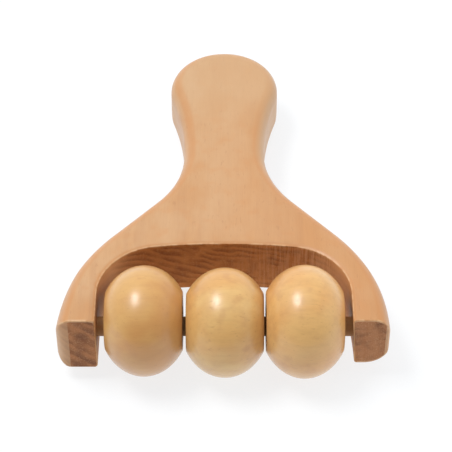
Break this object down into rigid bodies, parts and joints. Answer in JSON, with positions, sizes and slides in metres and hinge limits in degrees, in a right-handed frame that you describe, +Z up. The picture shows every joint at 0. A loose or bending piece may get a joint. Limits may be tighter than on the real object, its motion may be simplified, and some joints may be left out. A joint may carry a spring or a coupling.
{
  "type": "wooden roller massager",
  "caption": "Hand-held wooden massager: a flat paddle handle opening into a two-armed fork that carries barrel rollers on a wooden dowel.",
  "frame": {"origin": "on the ground plane, under the centre of the bounding box of the massager as it lies on its rollers and on the end of its handle", "axes": "+Z up, +X along the roller dowel, +Y from the rollers towards the end of the handle"},
  "size_m": [0.1358, 0.1842, 0.046],
  "materials": {
    "fork_wood": "satin varnished beech, pinkish tan",
    "dowel_wood": "satin hardwood dowel",
    "roller_wood": "glossy lacquered turned wood, pale yellow"
  },
  "bodies": {
    "root": {"handle_frame": "fork_wood", "axle_dowel": "dowel_wood"},
    "roller_left": {"roller_left": "roller_wood"},
    "roller_middle": {"roller_middle": "roller_wood"},
    "roller_right": {"roller_right": "roller_wood"}
  },
  "joints": [
    {"name": "left_roller_spin", "type": "hinge", "parent": "root", "child": "roller_left", "pos_m": [-0.0323, -0.06832, 0.0225], "axis": [1, 0, 0], "continuous": true},
    {"name": "middle_roller_spin", "type": "hinge", "parent": "root", "child": "roller_middle", "pos_m": [0.0004, -0.06902, 0.0223], "axis": [1, 0, 0], "continuous": true},
    {"name": "right_roller_spin", "type": "hinge", "parent": "root", "child": "roller_right", "pos_m": [0.0326, -0.06912, 0.023], "axis": [1, 0, 0], "continuous": true}
  ]
}
